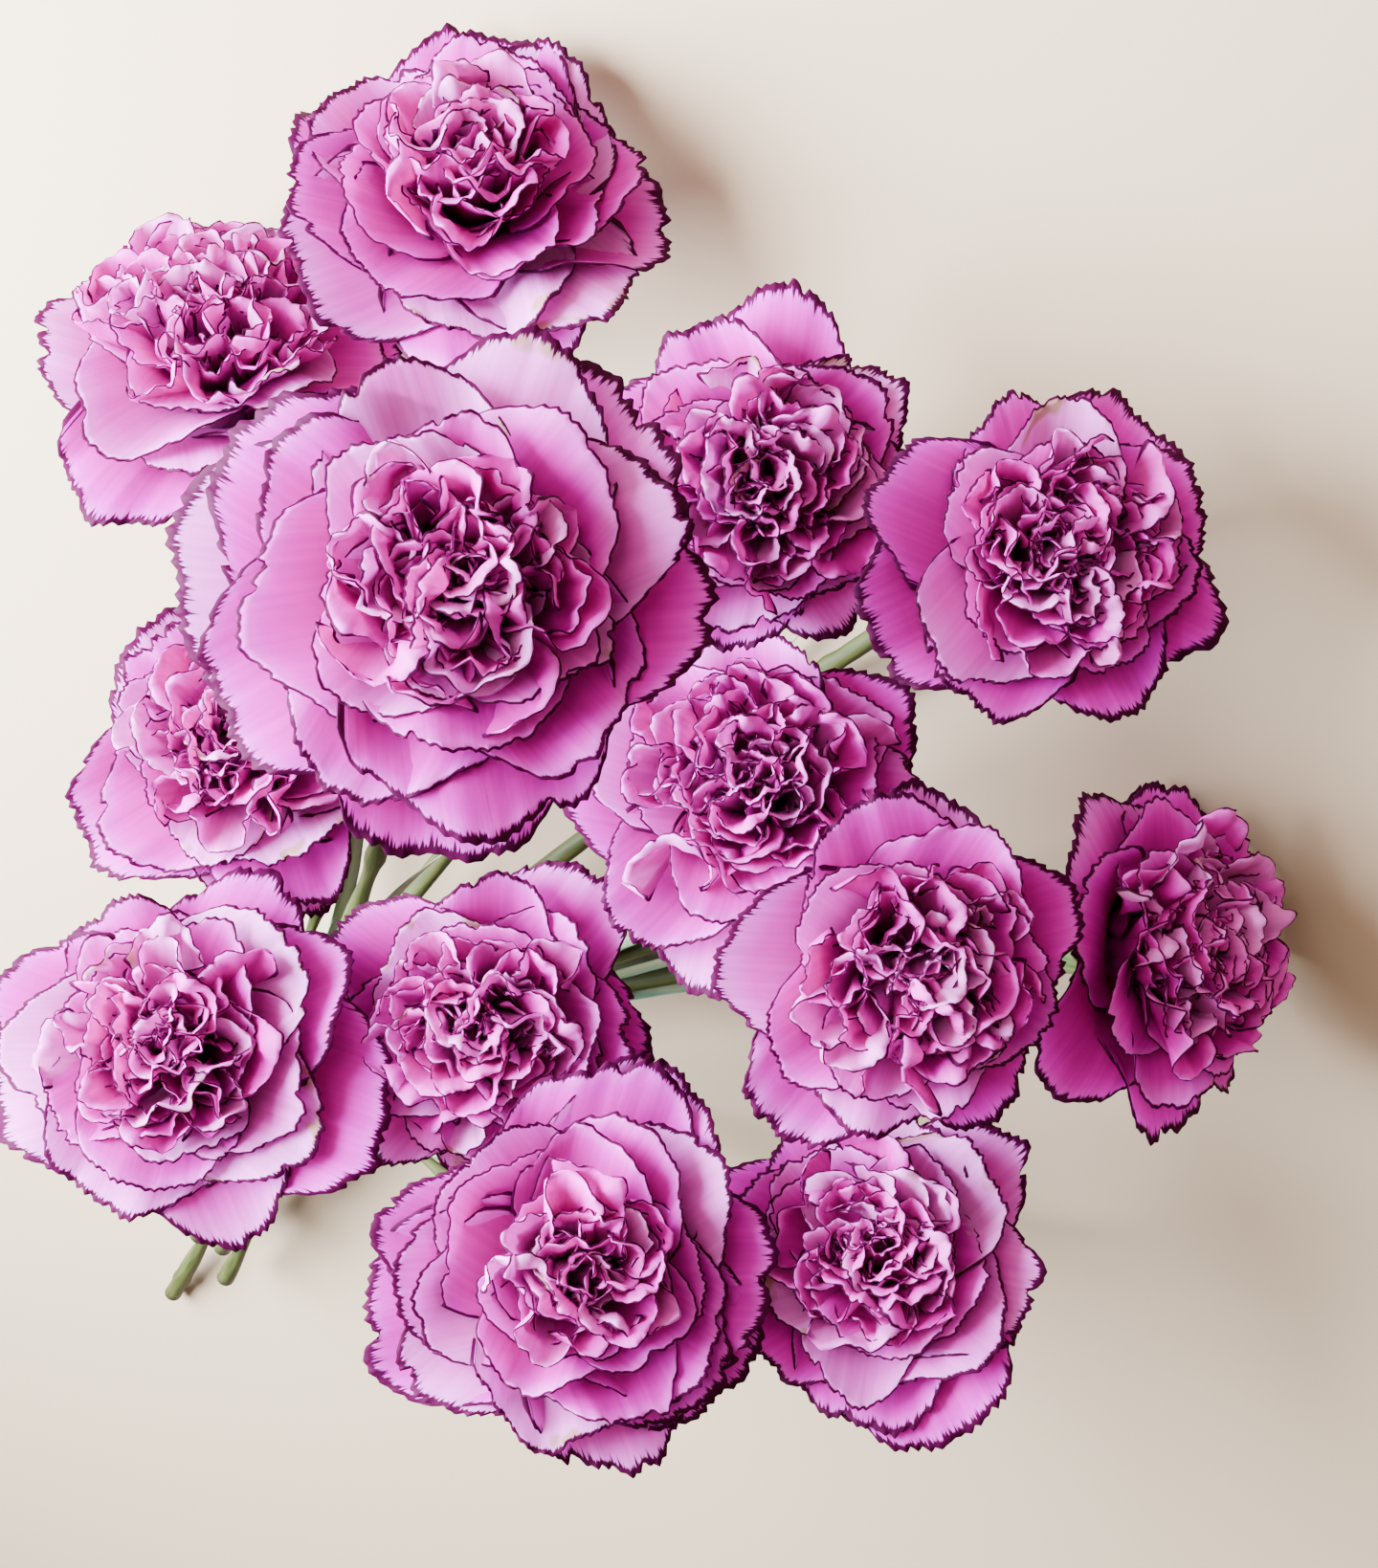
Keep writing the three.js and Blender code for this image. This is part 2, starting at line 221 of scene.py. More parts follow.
def curl_form(share, bloom, azimuth, rng):
    """A crumpled petal's form, from the middle's outside (share 0) to the centre (1). It has
    what guard_form gives. away: how far it stands from the axis; facing: the way it opens."""
    away = bloom["tuft"] * 0.88 * (1 - share) ** 0.62 * rng.uniform(0.8, 1.1)
    return dict(
        out=rng.uniform(0.10, 0.20) * (1 - 0.5 * share),
        up=bloom["dome"] + 0.04 - 0.5 * away**1.6 + rng.uniform(-0.05, 0.05),
        lean=rng.uniform(50, 118) * (1 - 0.3 * share),
        wide=rng.uniform(0.25, 0.42) * (1 - 0.25 * share),
        wave=rng.uniform(0.08, 0.24), crimp=rng.uniform(0.012, 0.045), frill=0.25,
        bend=rng.uniform(0.5, 1.1), tooth=rng.uniform(0.2, 0.55), inner=0.6 + 0.4 * share,
        away=away, facing=azimuth + rng.normal(0, 0.95), azimuth=azimuth, round=0.2,
        flute=rng.uniform(0, TURN))


def rim_line(u, v, steps, form, length, rng):
    """How far along the petal's middle line each point lies, once the rim has its rounded
    corners, its lobes, a few deeper notches and its teeth. steps: the sheet's steps across."""
    step = np.rint((u + 1) * steps * (RIM_CUTS + 1) / 2).astype(int)
    heights = rng.uniform(0.1, 1.2, MOST_TEETH)
    tooth = np.array(TOOTH_STEPS)[step % 4] * heights[step // 4]
    notch = sum(
        rng.uniform(0.0, 0.05) * np.exp(-((u - rng.uniform(-0.8, 0.8)) / NOTCH_WIDTH) ** 2)
        for _ in range(NOTCHES)
    )
    lobes = 0.028 * np.sin(rng.uniform(3, 8) * u + rng.uniform(0, 6))
    lobes += 0.008 * np.sin(rng.uniform(14, 22) * u + rng.uniform(0, 6))
    corner = form["round"] * rng.uniform(0.8, 1.25) * np.abs(u) ** 2.3
    t = v - (corner + lobes + notch * v**6) * v**2
    return t - (v > RIM) * tooth * form["tooth"] / length


def petal_waves(u, v, form, half, around, rng):
    """How far each point is lifted off the smooth petal, in millimetres."""
    inner = form["inner"]
    wave = form["wave"] * half * (
        np.sin(3 * around + form["flute"]) + 0.6 * np.sin(7 * around - 2 * form["flute"]))
    crimp = form["crimp"] * half * (
        np.sin(math.pi * rng.uniform(3.4, 5.4) * u + rng.uniform(0, TURN))
        + 0.6 * np.sin(math.pi * rng.uniform(7.0, 9.0) * u + rng.uniform(0, TURN)))
    frill = form["frill"] * np.sin(math.pi * rng.uniform(9, 11) * u + rng.uniform(0, TURN)) * v**8
    tuck = 1.6 * u * (1 - inner) * rng.uniform(0.6, 1.4)
    bowl = BOWL * half * u * u * (1 - inner)
    pinch = inner * half * rng.uniform(-0.25, 0.35) * np.abs(u) ** 1.5
    swell = smooth((v - 0.25) / 0.75) ** 1.6
    return swell * (wave + crimp + tuck + bowl + pinch) + frill


def petal_shape(u, v, steps, form, radius, rng):
    """One petal's points in the bloom's own frame and its pattern values, in millimetres."""
    out, up = radius * form["out"], radius * form["up"]
    lean = math.radians(form["lean"])
    half = radius * form["wide"]
    inner = form["inner"]
    length = math.hypot(out, up + THROAT) * 1.12  # the middle line's, as it bends over
    t = rim_line(u, v, steps, form, length, rng)

    # The middle line: up out of the calyx, then over to the rim.
    start = (2.6 + 1.6 * (1 - inner), -THROAT - CLAW_DEPTH)
    rise = (start[0] + 0.10 * out, -THROAT + 0.55 * (up + THROAT) + 6 * inner)
    pull = 0.42 * out + 3 * inner
    before = (out - pull * math.sin(lean), up - pull * math.cos(lean))
    place, way = along_curve([start, rise, before, (out, up)], t)

    # Across: a narrow claw that widens to a fan, bent round the bloom's axis.
    width = half * (CLAW_SHARE + (1 - CLAW_SHARE) * smooth((v - 0.08) / 0.72))
    x = u * width
    bend = np.maximum(place[0] * form["bend"], 4.5 + 4 * rng.uniform() + 4 * (1 - inner))
    # Petals that lie on each other share their broad waves, so they nest.
    around = (x / bend + form["facing"]) if inner <= 0.5 else 1.4 * u
    lift = petal_waves(u, v, form, half, around, rng)
    reach = bend - lift * way[1]
    angle = x / bend
    radial = place[0] - bend + reach * np.cos(angle)
    sideways = reach * np.sin(angle)
    height = place[1] + lift * way[0]

    away = form["away"] * radius * smooth(v * 1.25)
    face, spot = form["facing"], form["azimuth"]
    points = np.stack([
        radial * math.cos(face) - sideways * math.sin(face) + away * math.cos(spot),
        radial * math.sin(face) + sideways * math.cos(face) + away * math.sin(spot),
        height,
    ], 1)
    # The claw's sides aren't a rim, so they count as far from it.
    side = (1 - np.abs(u)) * width + 30 * smooth((0.62 - v) / 0.3)
    from_rim = np.minimum((1 - v) * length, side)
    pattern = np.stack([x, from_rim, np.full_like(u, rng.uniform(0, 100))], 1)
    shade = np.stack([np.full_like(u, inner), np.full_like(u, rng.uniform()), v], 1)
    return points, pattern, shade


def make_bloom(number, guard_sheet, curl_sheet, material):
    """All the petals of one bloom, as one piece. A sheet comes with its steps across."""
    rng = np.random.default_rng(FIRST_SEED + number)
    centre, axes, radius = bloom_place(number)
    radius /= MM
    bloom = dict(BLOOMS[number], flute=rng.uniform(0, TURN))
    joined = bmesh.new()
    points, patterns, shades = [], [], []
    azimuth = rng.uniform(0, TURN)
    kinds = ((guard_sheet, guard_form, bloom["guards"]), (curl_sheet, curl_form, bloom["curls"]))
    for (sheet, steps), form_of, count in kinds:
        corners = np.zeros(len(sheet.vertices) * 3)
        sheet.vertices.foreach_get("co", corners)
        u, v = corners.reshape(-1, 3)[:, 0], corners.reshape(-1, 3)[:, 1]
        for k in range(count):
            azimuth += GOLDEN_ANGLE + rng.uniform(-0.2, 0.2)
            form = form_of(k / (count - 1), bloom, azimuth, rng)
            joined.from_mesh(sheet)
            shape = petal_shape(u, v, steps, form, radius, rng)
            points.append(shape[0])
            patterns.append(shape[1])
            shades.append(shape[2])
    mesh = bpy.data.meshes.new(f"bloom_{number:02d}")
    joined.to_mesh(mesh)
    joined.free()

    placed = centre + np.concatenate(points) * MM @ axes
    press = TABLE_PRESS * MM
    low = placed[:, 2] < press
    placed[low, 2] = press * np.exp((placed[low, 2] - press) / press)
    mesh.vertices.foreach_set("co", placed.ravel())
    for name, values in (("pattern", patterns), ("shade", shades)):
        layer = mesh.attributes.new(name, "FLOAT_VECTOR", "POINT")
        layer.data.foreach_set("vector", np.concatenate(values).ravel())
    mesh.shade_smooth()
    mesh.update()
    piece = finish_piece(mesh, f"petals_of_bloom_{number:02d}", material,
                         f"petals_{number:02d}")
    wall = piece.modifiers.new("thickness", "SOLIDIFY")
    wall.thickness = PETAL_THICKNESS * MM
    wall.offset = 0


def grain(tree, place, scale, detail=2.0):
    """Noise over a place in millimetres, with so many grains to the mm along each axis."""
    spot = add_node(tree, "ShaderNodeMapping", {"Vector": place, "Scale": scale})
    noise = add_node(tree, "ShaderNodeTexNoise",
                     {"Vector": spot.outputs[0], "Scale": 1.0, "Detail": detail})
    return noise.outputs["Fac"]


def petal_material():
    """Carnation petal: a thin matt leaf of soft tissue that lets light through. Pale lavender
    pink, deeper towards the claw (partly its own colour, partly painted shade), with a dark
    purple edge that runs inwards in short streaks."""
    material, tree = new_material("carnation_petal")
    pattern = add_node(tree, "ShaderNodeAttribute", attribute_name="pattern").outputs["Vector"]
    shade = add_node(tree, "ShaderNodeAttribute", attribute_name="shade").outputs["Vector"]
    from_rim = add_node(tree, "ShaderNodeSeparateXYZ", {0: pattern}).outputs["Y"]
    inner, tone, along = add_node(tree, "ShaderNodeSeparateXYZ", {0: shade}).outputs

    # The dark edge. On the outermost guards it is 1.5 mm wide, with streaks half a millimetre
    # wide that run up to 4.6 mm in; on the petals further in it is a fine even line.
    streaks = add_node(tree, "ShaderNodeMapRange",
                       {"Value": grain(tree, pattern, (2.0, 0.09, 1.0), 3.0), "From Min": 0.42,
                        "From Max": 0.78, "To Min": 1.5, "To Max": 4.6})
    thinner = add_node(tree, "ShaderNodeMapRange",
                       {"Value": inner, "From Min": 0.06, "From Max": 0.3,
                        "To Min": 0.0, "To Max": 1.0})
    width = add_node(tree, "ShaderNodeMix",
                     {"Factor": thinner.outputs[0], "A": streaks.outputs[0], "B": 0.62})
    edge = add_node(tree, "ShaderNodeMath",
                    {0: from_rim, 1: width.outputs[0]}, operation="DIVIDE")
    dark = add_node(tree, "ShaderNodeMapRange",
                    {"Value": edge.outputs[0], "From Min": 0.7, "From Max": 1.15,
                     "To Min": 1.0, "To Max": 0.0}, interpolation_type="SMOOTHSTEP")

    # The blade: deep pink at the claw, paler and more lavender towards the rim. The deep claw is
    # partly painted shade.
    # Painted shade: the claw end is darker than the petal's own deeper pink, for the shade deep
    # inside the bloom.
    claw_tint_and_painted_shade = add_node(tree, "ShaderNodeValToRGB", {"Fac": along})
    ramp = claw_tint_and_painted_shade.color_ramp
    ramp.elements[0].position, ramp.elements[0].color = 0.25, colour("#84175a")
    ramp.elements[1].position, ramp.elements[1].color = 1.0, colour("#ea96e6")
    for position, code in ((0.58, "#a9287f"), (0.82, "#c84aae")):
        ramp.elements.new(position).color = colour(code)
    blush = add_node(tree, "ShaderNodeMapRange", {"Value": inner, "To Max": 0.8})
    pink = add_node(tree, "ShaderNodeMix",
                    {"Factor": blush.outputs[0], "A": claw_tint_and_painted_shade.outputs[0], "B": colour("#ec94d6")},
                    data_type="RGBA")
    # Some petals are paler all over.
    pale = add_node(tree, "ShaderNodeMapRange",
                    {"Value": tone, "From Min": 0.5, "From Max": 1.0, "To Min": 0.0,
                     "To Max": 0.5})
    petal = add_node(tree, "ShaderNodeMix",
                     {"Factor": pale.outputs[0], "A": pink.outputs["Result"],
                      "B": colour("#f5c8f6")}, data_type="RGBA")
    # Veins: pale and deep rays that fan out to the edge. They are 1 mm apart, coarser than on a
    # real petal, so that they show.
    veins = add_node(tree, "ShaderNodeMapRange",
                     {"Value": grain(tree, pattern, (0.9, 0.03, 1.0), 3.0), "From Min": 0.35,
                      "From Max": 0.7, "To Min": 0.93, "To Max": 1.08})
    tissue = add_node(tree, "ShaderNodeHueSaturation",
                      {"Color": petal.outputs["Result"], "Saturation": 1.38,
                       "Value": veins.outputs[0]})
    # Age: the rims of a few petals have dried to olive brown in patches up to 7 mm deep.
    patches = add_node(tree, "ShaderNodeMapRange",
                       {"Value": grain(tree, pattern, (0.12, 0.1, 1.0)), "From Min": 0.5,
                        "From Max": 0.7, "To Min": 0.0, "To Max": 7.0})
    withered = add_node(tree, "ShaderNodeMapRange",
                        {"Value": tone, "From Min": 0.9, "From Max": 0.93})
    depth = add_node(tree, "ShaderNodeMath",
                     {0: patches.outputs[0], 1: withered.outputs[0]}, operation="MULTIPLY")
    dry = add_node(tree, "ShaderNodeMath", {0: depth.outputs[0], 1: from_rim},
                   operation="SUBTRACT")
    age = add_node(tree, "ShaderNodeMapRange",
                   {"Value": dry.outputs[0], "From Max": 2.5, "To Max": 0.8})
    aged = add_node(tree, "ShaderNodeMix",
                    {"Factor": age.outputs[0], "A": tissue.outputs[0],
                     "B": colour("#a98a5e")}, data_type="RGBA")
    skin = add_node(tree, "ShaderNodeMix",
                    {"Factor": dark.outputs[0], "A": aged.outputs["Result"],
                     "B": colour("#460032")}, data_type="RGBA")
    bump = add_node(tree, "ShaderNodeBump",
                    {"Height": grain(tree, pattern, (1.4, 0.05, 1.0), 3.0),
                     "Distance": 0.0001, "Strength": 0.5})
    surface = add_node(tree, "ShaderNodeBsdfPrincipled",
                       {"Base Color": skin.outputs["Result"], "Roughness": 0.6,
                        "Specular IOR Level": 0.08, "Normal": bump.outputs[0]})
    glow = add_node(tree, "ShaderNodeBsdfTranslucent", {"Color": skin.outputs["Result"]})
    both = add_node(tree, "ShaderNodeMixShader",
                    {0: 0.43, 1: surface.outputs[0], 2: glow.outputs[0]})
    add_node(tree, "ShaderNodeOutputMaterial", {0: both.outputs[0]})
    return material


def green_material(name, young, old, grain_scale, mark_colour):
    """Carnation green: smooth waxy skin under a grey-blue bloom that is wiped off in places.
    mark_colour: the tissue of a stem's cut, or of a worn tooth or leaf tip."""
    material, tree = new_material(name)
    pattern = add_node(tree, "ShaderNodeAttribute", attribute_name="pattern").outputs["Vector"]
    shade = add_node(tree, "ShaderNodeAttribute", attribute_name="shade").outputs["Vector"]
    wax = add_node(tree, "ShaderNodeMapRange",
                   {"Value": grain(tree, pattern, grain_scale, 4.0), "From Min": 0.35,
                    "From Max": 0.68})
    skin = add_node(tree, "ShaderNodeMix", {"Factor": wax.outputs[0], "A": colour(young),
                                            "B": colour(old)}, data_type="RGBA")
    tip, line, _ = add_node(tree, "ShaderNodeSeparateXYZ", {0: shade}).outputs
    marked = add_node(tree, "ShaderNodeMix",
                      {"Factor": tip, "A": skin.outputs["Result"], "B": colour(mark_colour)},
                      data_type="RGBA")
    lined = add_node(tree, "ShaderNodeMix",
                     {"Factor": line, "A": marked.outputs["Result"], "B": colour("#c3cda2")},
                     data_type="RGBA")
    bump = add_node(tree, "ShaderNodeBump",
                    {"Height": grain(tree, pattern, grain_scale, 4.0),
                     "Distance": 0.0001, "Strength": 0.5})
    surface = add_node(tree, "ShaderNodeBsdfPrincipled",
                       {"Base Color": lined.outputs["Result"], "Roughness": 0.6,
                        "Specular IOR Level": 0.2, "Normal": bump.outputs[0]})
    add_node(tree, "ShaderNodeOutputMaterial", {0: surface.outputs[0]})
    return material


# ---- Stems, calyces and leaves ---------------------------------------------------------------

STEM_SIDES, STEM_STEP = 14, 4  # faces round a stem, and mm from ring to ring
CAD_CUT_POINTS = 7  # a CAD stem's cut is a middle point and six corners
CUT_RIM, CUT_MIDDLE = 0.86, 0.45  # two rings in the cut, as shares of its radius
CALYX_SIDES, CALYX_RINGS = 60, 26
# The cup's radius in mm at each share of the way up.
CALYX_OUTLINE = ((0, 2.1), (0.05, 3.2), (0.12, 4.3), (0.45, 5.5), (0.85, 6.8), (1, 7.3))
CALYX_FOOT = 0.8  # how far the cup's foot reaches down over the stem, in mm
CALYX_WALL = 0.5
CALYX_TEETH, TOOTH_HEIGHT = 5, 3.6
CALYX_RIBS, RIB_HEIGHT = 30, 0.09
SCALE_HEIGHT = 0.35  # how far the clasping scales stand off the cup
MIDRIB = 0.5  # half its width, in mm
DRY_TIP = 6  # mm at the end of a leaf
SAME_POINT = 0.00001  # metres; CAD points closer than this are one
SEAM = 0.000002


def merged_copy(name):
    """A CAD node's mesh with its faces joined at their corners."""
    copy = bmesh.new()
    copy.from_mesh(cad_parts[name].data)
    bmesh.ops.remove_doubles(copy, verts=copy.verts, dist=SAME_POINT)
    return copy


def stem_rings(number):
    """The CAD stem's rings from its cut end up: the middle of each and its radius, in a row.
    They are found as steps outwards from the point in the middle of the cut."""
    tube = merged_copy(f"stem_{number:02d}")
    head = Vector(node_points(f"calyx_{number:02d}").mean(0))
    end = max(tube.verts, key=lambda v: (v.co - head).length)
    cap = sorted(tube.verts, key=lambda v: (v.co - end.co).length)[:CAD_CUT_POINTS]
    middle = sum((v.co for v in cap), Vector()) / len(cap)
    ring = [min(cap, key=lambda v: (v.co - middle).length)]
    seen, rows = set(ring), []
    while ring:
        middle = sum((v.co for v in ring), Vector()) / len(ring)
        rows.append((*middle, sum((v.co - middle).length for v in ring) / len(ring)))
        ring = list({e.other_vert(v) for v in ring for e in v.link_edges} - seen)
        seen.update(ring)
    tube.free()
    return np.array(rows[1:-1])


def smooth_through(rows, at):
    """A smooth curve through rows whose first three numbers are a place; at: distances along."""
    step = np.linalg.norm(np.diff(rows[:, :3], axis=0), axis=1)
    knots = np.concatenate([[0], np.cumsum(step)])
    slope = np.diff(rows, axis=0) / step[:, None]
    before, after = step[:-1, None], step[1:, None]
    way = np.vstack([slope[:1], (slope[1:] * before + slope[:-1] * after) / (before + after),
                     slope[-1:]])
    span = np.clip(np.searchsorted(knots, at, side="right") - 1, 0, len(step) - 1)
    long = step[span][:, None]
    x = (at - knots[span])[:, None] / long
    return ((1 + 2 * x) * (1 - x) ** 2 * rows[span] + x * (1 - x) ** 2 * long * way[span]
            + x * x * (3 - 2 * x) * rows[span + 1] + x * x * (x - 1) * long * way[span + 1])


def wrapped_sheet(name, sides, rings, shape_of, close_ends):
    """A sheet rolled into a tube with a closed seam. shape_of gives the points, the pattern and
    the shade from each point's angle round and ring number."""
    sheet = bmesh.new()
    bmesh.ops.create_grid(sheet, x_segments=sides, y_segments=rings, size=1)
    sheet.verts.ensure_lookup_table()
    flat = np.array([v.co[:2] for v in sheet.verts])
    angle = (flat[:, 0] + 1) * math.pi
    ring = np.rint((flat[:, 1] + 1) / 2 * rings).astype(int)
    values = shape_of(angle, ring)
    layers = [sheet.verts.layers.float_vector.new(key) for key in ("pattern", "shade")]
    for vertex, point, *marks in zip(sheet.verts, *values):
        vertex.co = point
        for layer, mark in zip(layers, marks):
            vertex[layer] = Vector(mark)
    bmesh.ops.remove_doubles(sheet, verts=sheet.verts, dist=SEAM)
    if close_ends:
        bmesh.ops.holes_fill(sheet, edges=[e for e in sheet.edges if e.is_boundary])
    bmesh.ops.recalc_face_normals(sheet, faces=sheet.faces)
    mesh = bpy.data.meshes.new(name)
    sheet.to_mesh(mesh)
    sheet.free()
    mesh.shade_smooth()
    return mesh


def make_stem(number, material):
    """A round stem along the CAD stem, with its swollen joints and a pale cut."""
    rows = stem_rings(number)
    total = np.linalg.norm(np.diff(rows[:, :3], axis=0), axis=1).sum()
    at = np.linspace(0, total, int(total / MM / STEM_STEP))
    # Two rings lie in the cut: the bruised rim and the pale middle.
    at = np.concatenate([[0, 0, 0], at[1:]])
    rows = smooth_through(rows, at)
    radius = rows[:, 3].copy()
    radius[0] *= CUT_MIDDLE
    radius[1] *= CUT_RIM
    way = np.gradient(rows[2:, :3], axis=0)
    way = np.vstack([way[:1], way[:1], way])
    way /= np.linalg.norm(way, axis=1)[:, None]
    out = np.cross(way, (1.0, 0, 0))
    out /= np.linalg.norm(out, axis=1)[:, None]
    aside = np.cross(way, out)

    def shape_of(angle, ring):
        c, s, r = np.cos(angle)[:, None], np.sin(angle)[:, None], radius[ring][:, None]
        points = rows[ring, :3] + r * (c * out[ring] + s * aside[ring])
        pattern = np.hstack([r * c, r * s, at[ring][:, None]]) / MM + PATTERN_SHIFT * number
        shade = np.zeros_like(points)
        shade[:, 0] = np.array([1.0, 0.75])[np.minimum(ring, 1)] * (ring < 2)
        return points, pattern, shade

    mesh = wrapped_sheet(f"stem_{number:02d}", STEM_SIDES, len(at) - 1, shape_of, True)
    finish_piece(mesh, f"stalk_{number:02d}", material, f"stem_{number:02d}")


def make_calyx(number, material):
    """A ribbed cup with a rounded foot, four scales that clasp it and five pointed teeth."""
    centre, axes, _ = bloom_place(number)
    foot = centre - axes[2] * (CALYX_LENGTH + THROAT) * MM

    def shape_of(angle, ring):
        t = ring / CALYX_RINGS
        tooth = np.abs((angle * CALYX_TEETH / (2 * math.pi)) % 1 - 0.5) * 2
        scale = 0.14 + 0.20 * np.abs(np.cos(2 * angle)) ** 1.4
        radius = np.interp(t, *zip(*CALYX_OUTLINE))
        radius += SCALE_HEIGHT * smooth((scale - t) / 0.03 + 0.5) * (t > 0.06)
        radius += RIB_HEIGHT * np.cos(CALYX_RIBS * angle) * smooth((t - 0.3) / 0.3)
        height = -CALYX_FOOT + t * (CALYX_LENGTH + CALYX_FOOT)
        height += TOOTH_HEIGHT * smooth((t - 0.75) / 0.25) * (tooth - 0.45)
        points = np.stack([radius * np.cos(angle), radius * np.sin(angle), height], 1)
        tip = smooth((t - 0.9) / 0.1) * smooth((tooth - 0.45) / 0.5) * 0.8
        rib = smooth((scale - t + 0.015) / 0.01) * smooth((t - scale + 0.03) / 0.01) * 0.3
        shade = np.stack([tip, rib, t], 1)
        return foot + points * MM @ axes, points + PATTERN_SHIFT * number, shade

    mesh = wrapped_sheet(f"calyx_{number:02d}", CALYX_SIDES, CALYX_RINGS, shape_of, False)
    cup = finish_piece(mesh, f"calyx_cup_{number:02d}", material, f"calyx_{number:02d}")
    wall = cup.modifiers.new("wall", "SOLIDIFY")
    wall.thickness = CALYX_WALL * MM


def make_leaves(number, material):
    """The CAD pair of blades with rounder edges, a pale midrib and a worn tip. The pair lies in
    one plane, so its blades' width runs the way it reaches least."""
    node = f"leaves_{number:02d}"
    copy = merged_copy(node)
    mesh = bpy.data.meshes.new(node)
    copy.to_mesh(mesh)
    copy.free()
    points = np.zeros(len(mesh.vertices) * 3)
    mesh.vertices.foreach_get("co", points)
    points = points.reshape(-1, 3)
    middle = points.mean(0)
    ways = np.linalg.svd(points - middle, full_matrices=False)[2]
    local = (points - middle) @ ways.T / MM
    across, along = local[:, 2], local[:, 0]
    # The sheath has the most points, so the tips are at the end farther from the mean.
    along = along if along.max() > -along.min() else -along
    from_tip = along.max() - along
    dry = smooth(1 - from_tip / DRY_TIP) * 0.7
    rib = np.exp(-(across / MIDRIB) ** 2) * 0.35
    shade = np.stack([dry, rib, from_tip], 1)
    pattern = local[:, [2, 1, 0]] + PATTERN_SHIFT * number
    for name, values in (("pattern", pattern), ("shade", shade)):
        layer = mesh.attributes.new(name, "FLOAT_VECTOR", "POINT")
        layer.data.foreach_set("vector", values.ravel())
    mesh.shade_smooth()
    pair = finish_piece(mesh, f"leaf_pair_{number:02d}", material, node)
    rounder = pair.modifiers.new("round", "SUBSURF")
    rounder.levels = rounder.render_levels = 2


guard_sheet = (petal_sheet(*GUARD_STEPS), GUARD_STEPS[0])
curl_sheet = (petal_sheet(*CURL_STEPS), CURL_STEPS[0])
petal = petal_material()
# Stem: olive skin with the wax rubbed off in streaks 1.4 mm across and 12 mm long. The cut
# shows pale pith.
stem = green_material("carnation_stem", "#2c3312", "#454822", (0.7, 0.7, 0.08),
                      mark_colour="#d9dcb4")
# Calyx: the freshest green, in fine lengthwise streaks 0.8 mm across, with dry reddish teeth.
calyx = green_material("carnation_calyx", "#485a28", "#6a7c4c", (1.2, 1.2, 0.1),
                       mark_colour="#8a5a5a")
# Leaf: deep green under blue-grey wax, in streaks 0.9 mm across that run along the blade, with
# a straw-coloured dry tip.
leaf = green_material("carnation_leaf", "#263c22", "#4e6653", (1.1, 0.5, 0.06),
                      mark_colour="#a8925a")
for number in FLOWERS:
    make_bloom(number, guard_sheet, curl_sheet, petal)
    make_stem(number, stem)
    make_calyx(number, calyx)
for number in LEAF_PAIRS:
    make_leaves(number, leaf)

# ---- Table, light and camera -----------------------------------------------------------------

CAMERA_LIFT = 52  # degrees above the table
CAMERA_ROLL = 140  # degrees, which swings the stems to the lower left
CAMERA_AWAY = 0.470  # metres from the point it looks at
VIEW_HEIGHT = 0.328  # what the camera takes in at the heads' distance
AIM_OFFSET = (-0.0097, -0.0082, -0.0083)  # from the mean of the blooms' rim centres
TABLE_HALF = 6  # metres from the table's middle to its edge


def aim():
    """The point the camera looks at."""
    centres = [bloom_place(number)[0] for number in FLOWERS]
    return Vector(np.mean(centres, 0) + AIM_OFFSET)


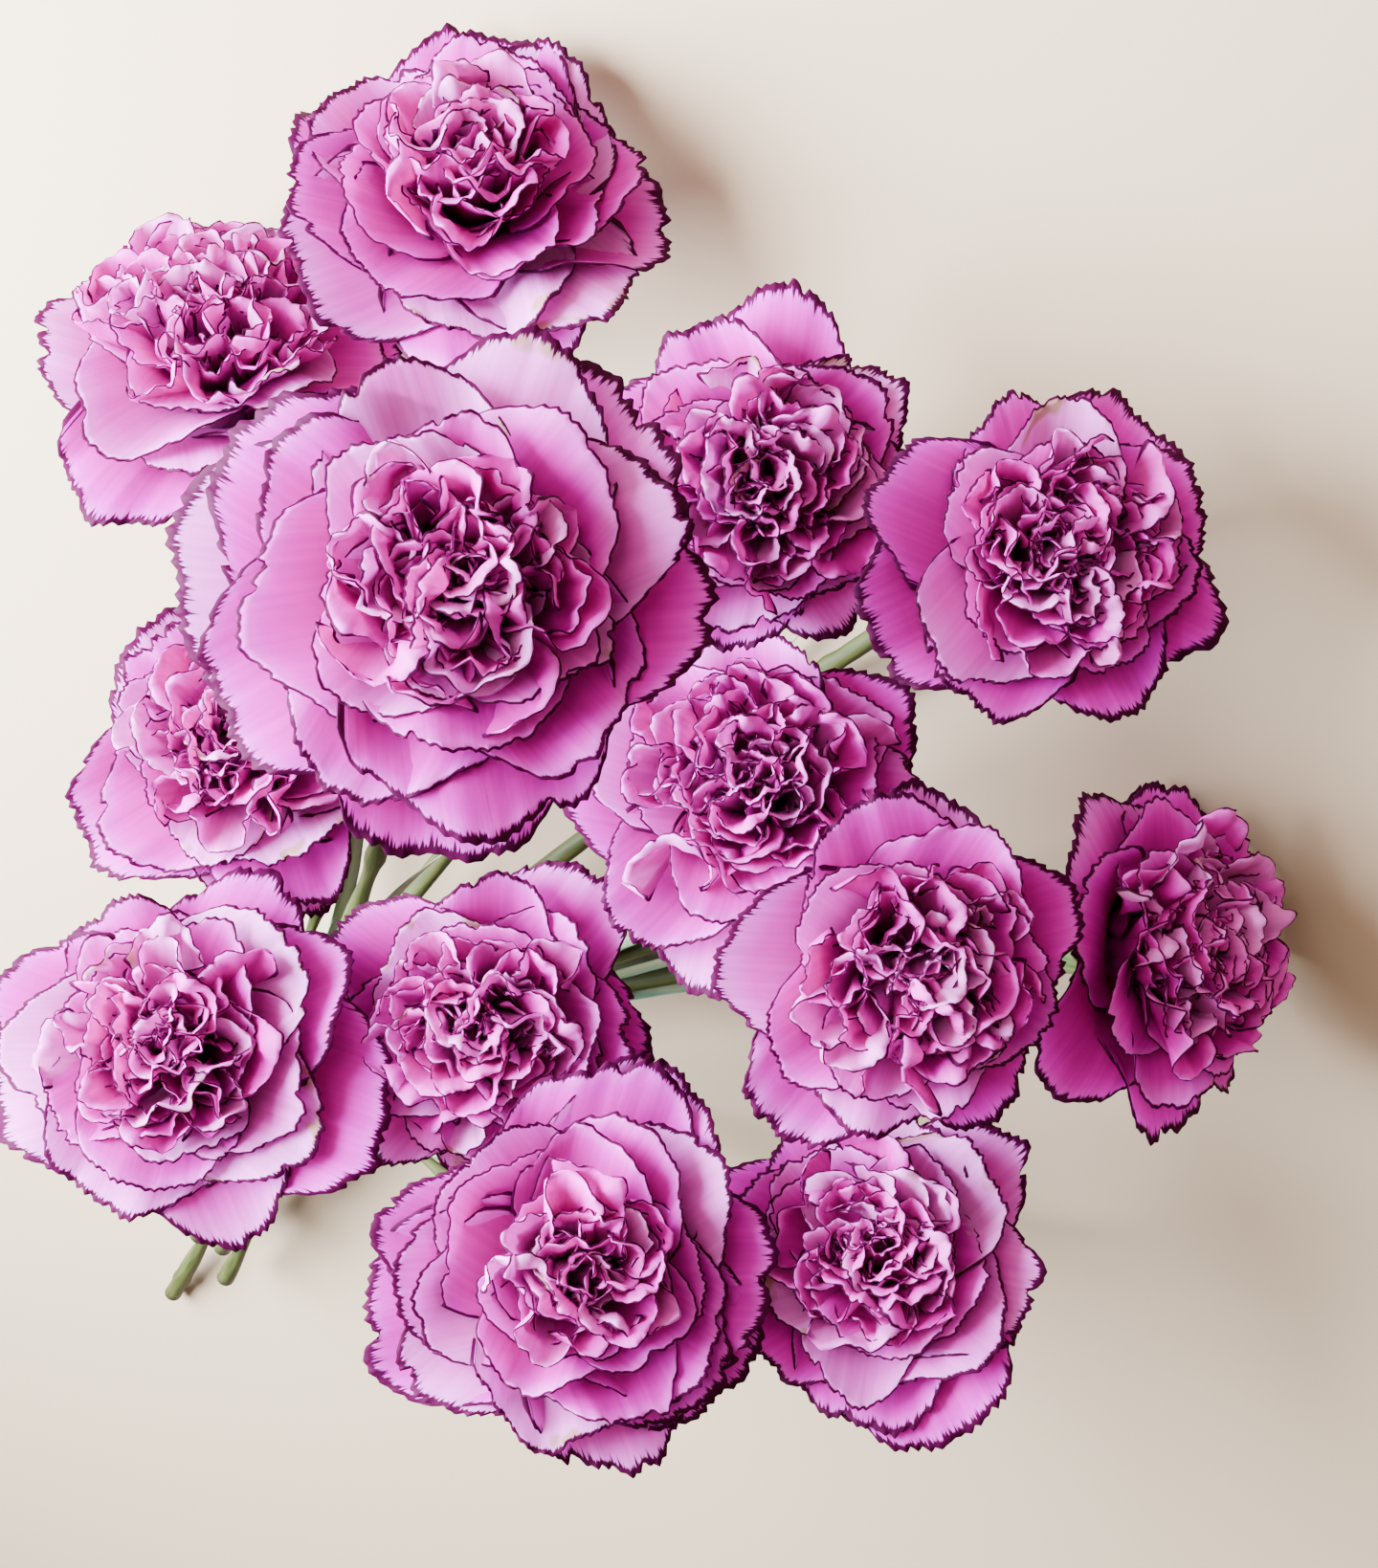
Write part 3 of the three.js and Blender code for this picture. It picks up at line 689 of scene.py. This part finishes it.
def make_camera(target):
    """Points the camera at the target. Returns its right, up and back as world directions."""
    lift, roll = math.radians(CAMERA_LIFT), math.radians(CAMERA_ROLL)
    level = Vector((1, 0, 0))
    rise = Vector((0, math.sin(lift), math.cos(lift)))
    back = Vector((0, -math.cos(lift), math.sin(lift)))
    right = math.cos(roll) * level - math.sin(roll) * rise
    up = math.sin(roll) * level + math.cos(roll) * rise
    data = bpy.data.cameras.new("camera")
    data.lens = data.sensor_width / 2 / (VIEW_HEIGHT / 2 / CAMERA_AWAY)
    camera = bpy.data.objects.new("camera", data)
    turn = Matrix((right, up, back)).transposed().to_4x4()
    camera.matrix_world = Matrix.Translation(target + back * CAMERA_AWAY) @ turn
    bpy.context.scene.collection.objects.link(camera)
    bpy.context.scene.camera = camera
    return right, up, back


def soft_lamp(name, target, direction, away, size, power, tint):
    """A round area lamp that shines at the target from the given way and distance."""
    data = bpy.data.lights.new(name, "AREA")
    data.shape, data.size, data.energy = "DISK", size, power
    data.color = colour(tint)[:3]
    lamp = bpy.data.objects.new(name, data)
    way = Vector(direction).normalized()
    turn = way.to_track_quat("Z", "Y").to_matrix().to_4x4()
    lamp.matrix_world = Matrix.Translation(target + way * away) @ turn
    bpy.context.scene.collection.objects.link(lamp)


def make_floor():
    """The table top: matt paint, warm and pale."""
    floor = bmesh.new()
    bmesh.ops.create_grid(floor, x_segments=1, y_segments=1, size=TABLE_HALF)
    mesh = bpy.data.meshes.new("table_top")
    floor.to_mesh(mesh)
    floor.free()
    material, tree = new_material("painted_table_top")
    paint = add_node(tree, "ShaderNodeBsdfPrincipled",
                     {"Base Color": colour("#a28c73"), "Roughness": 0.9})
    add_node(tree, "ShaderNodeOutputMaterial", {0: paint.outputs[0]})
    mesh.materials.append(material)
    top = bpy.data.objects.new("table_top", mesh)
    bpy.context.scene.collection.objects.link(top)


target = aim()
right, up, back = make_camera(target)
make_floor()
soft_lamp("window", target, -right + up * 0.12 + back * 0.42, away=0.62, size=0.6,
          power=88, tint="#e6f2ff")
soft_lamp("room", target, -right * 0.55 + up * 0.35 + back, away=2.0, size=1.8,
          power=46, tint="#ffeee2")
world = bpy.data.worlds.new("room")
world.use_nodes = True
world.node_tree.nodes["Background"].inputs["Color"].default_value = colour("#f8e3d2")
world.node_tree.nodes["Background"].inputs["Strength"].default_value = 0.5
bpy.context.scene.world = world
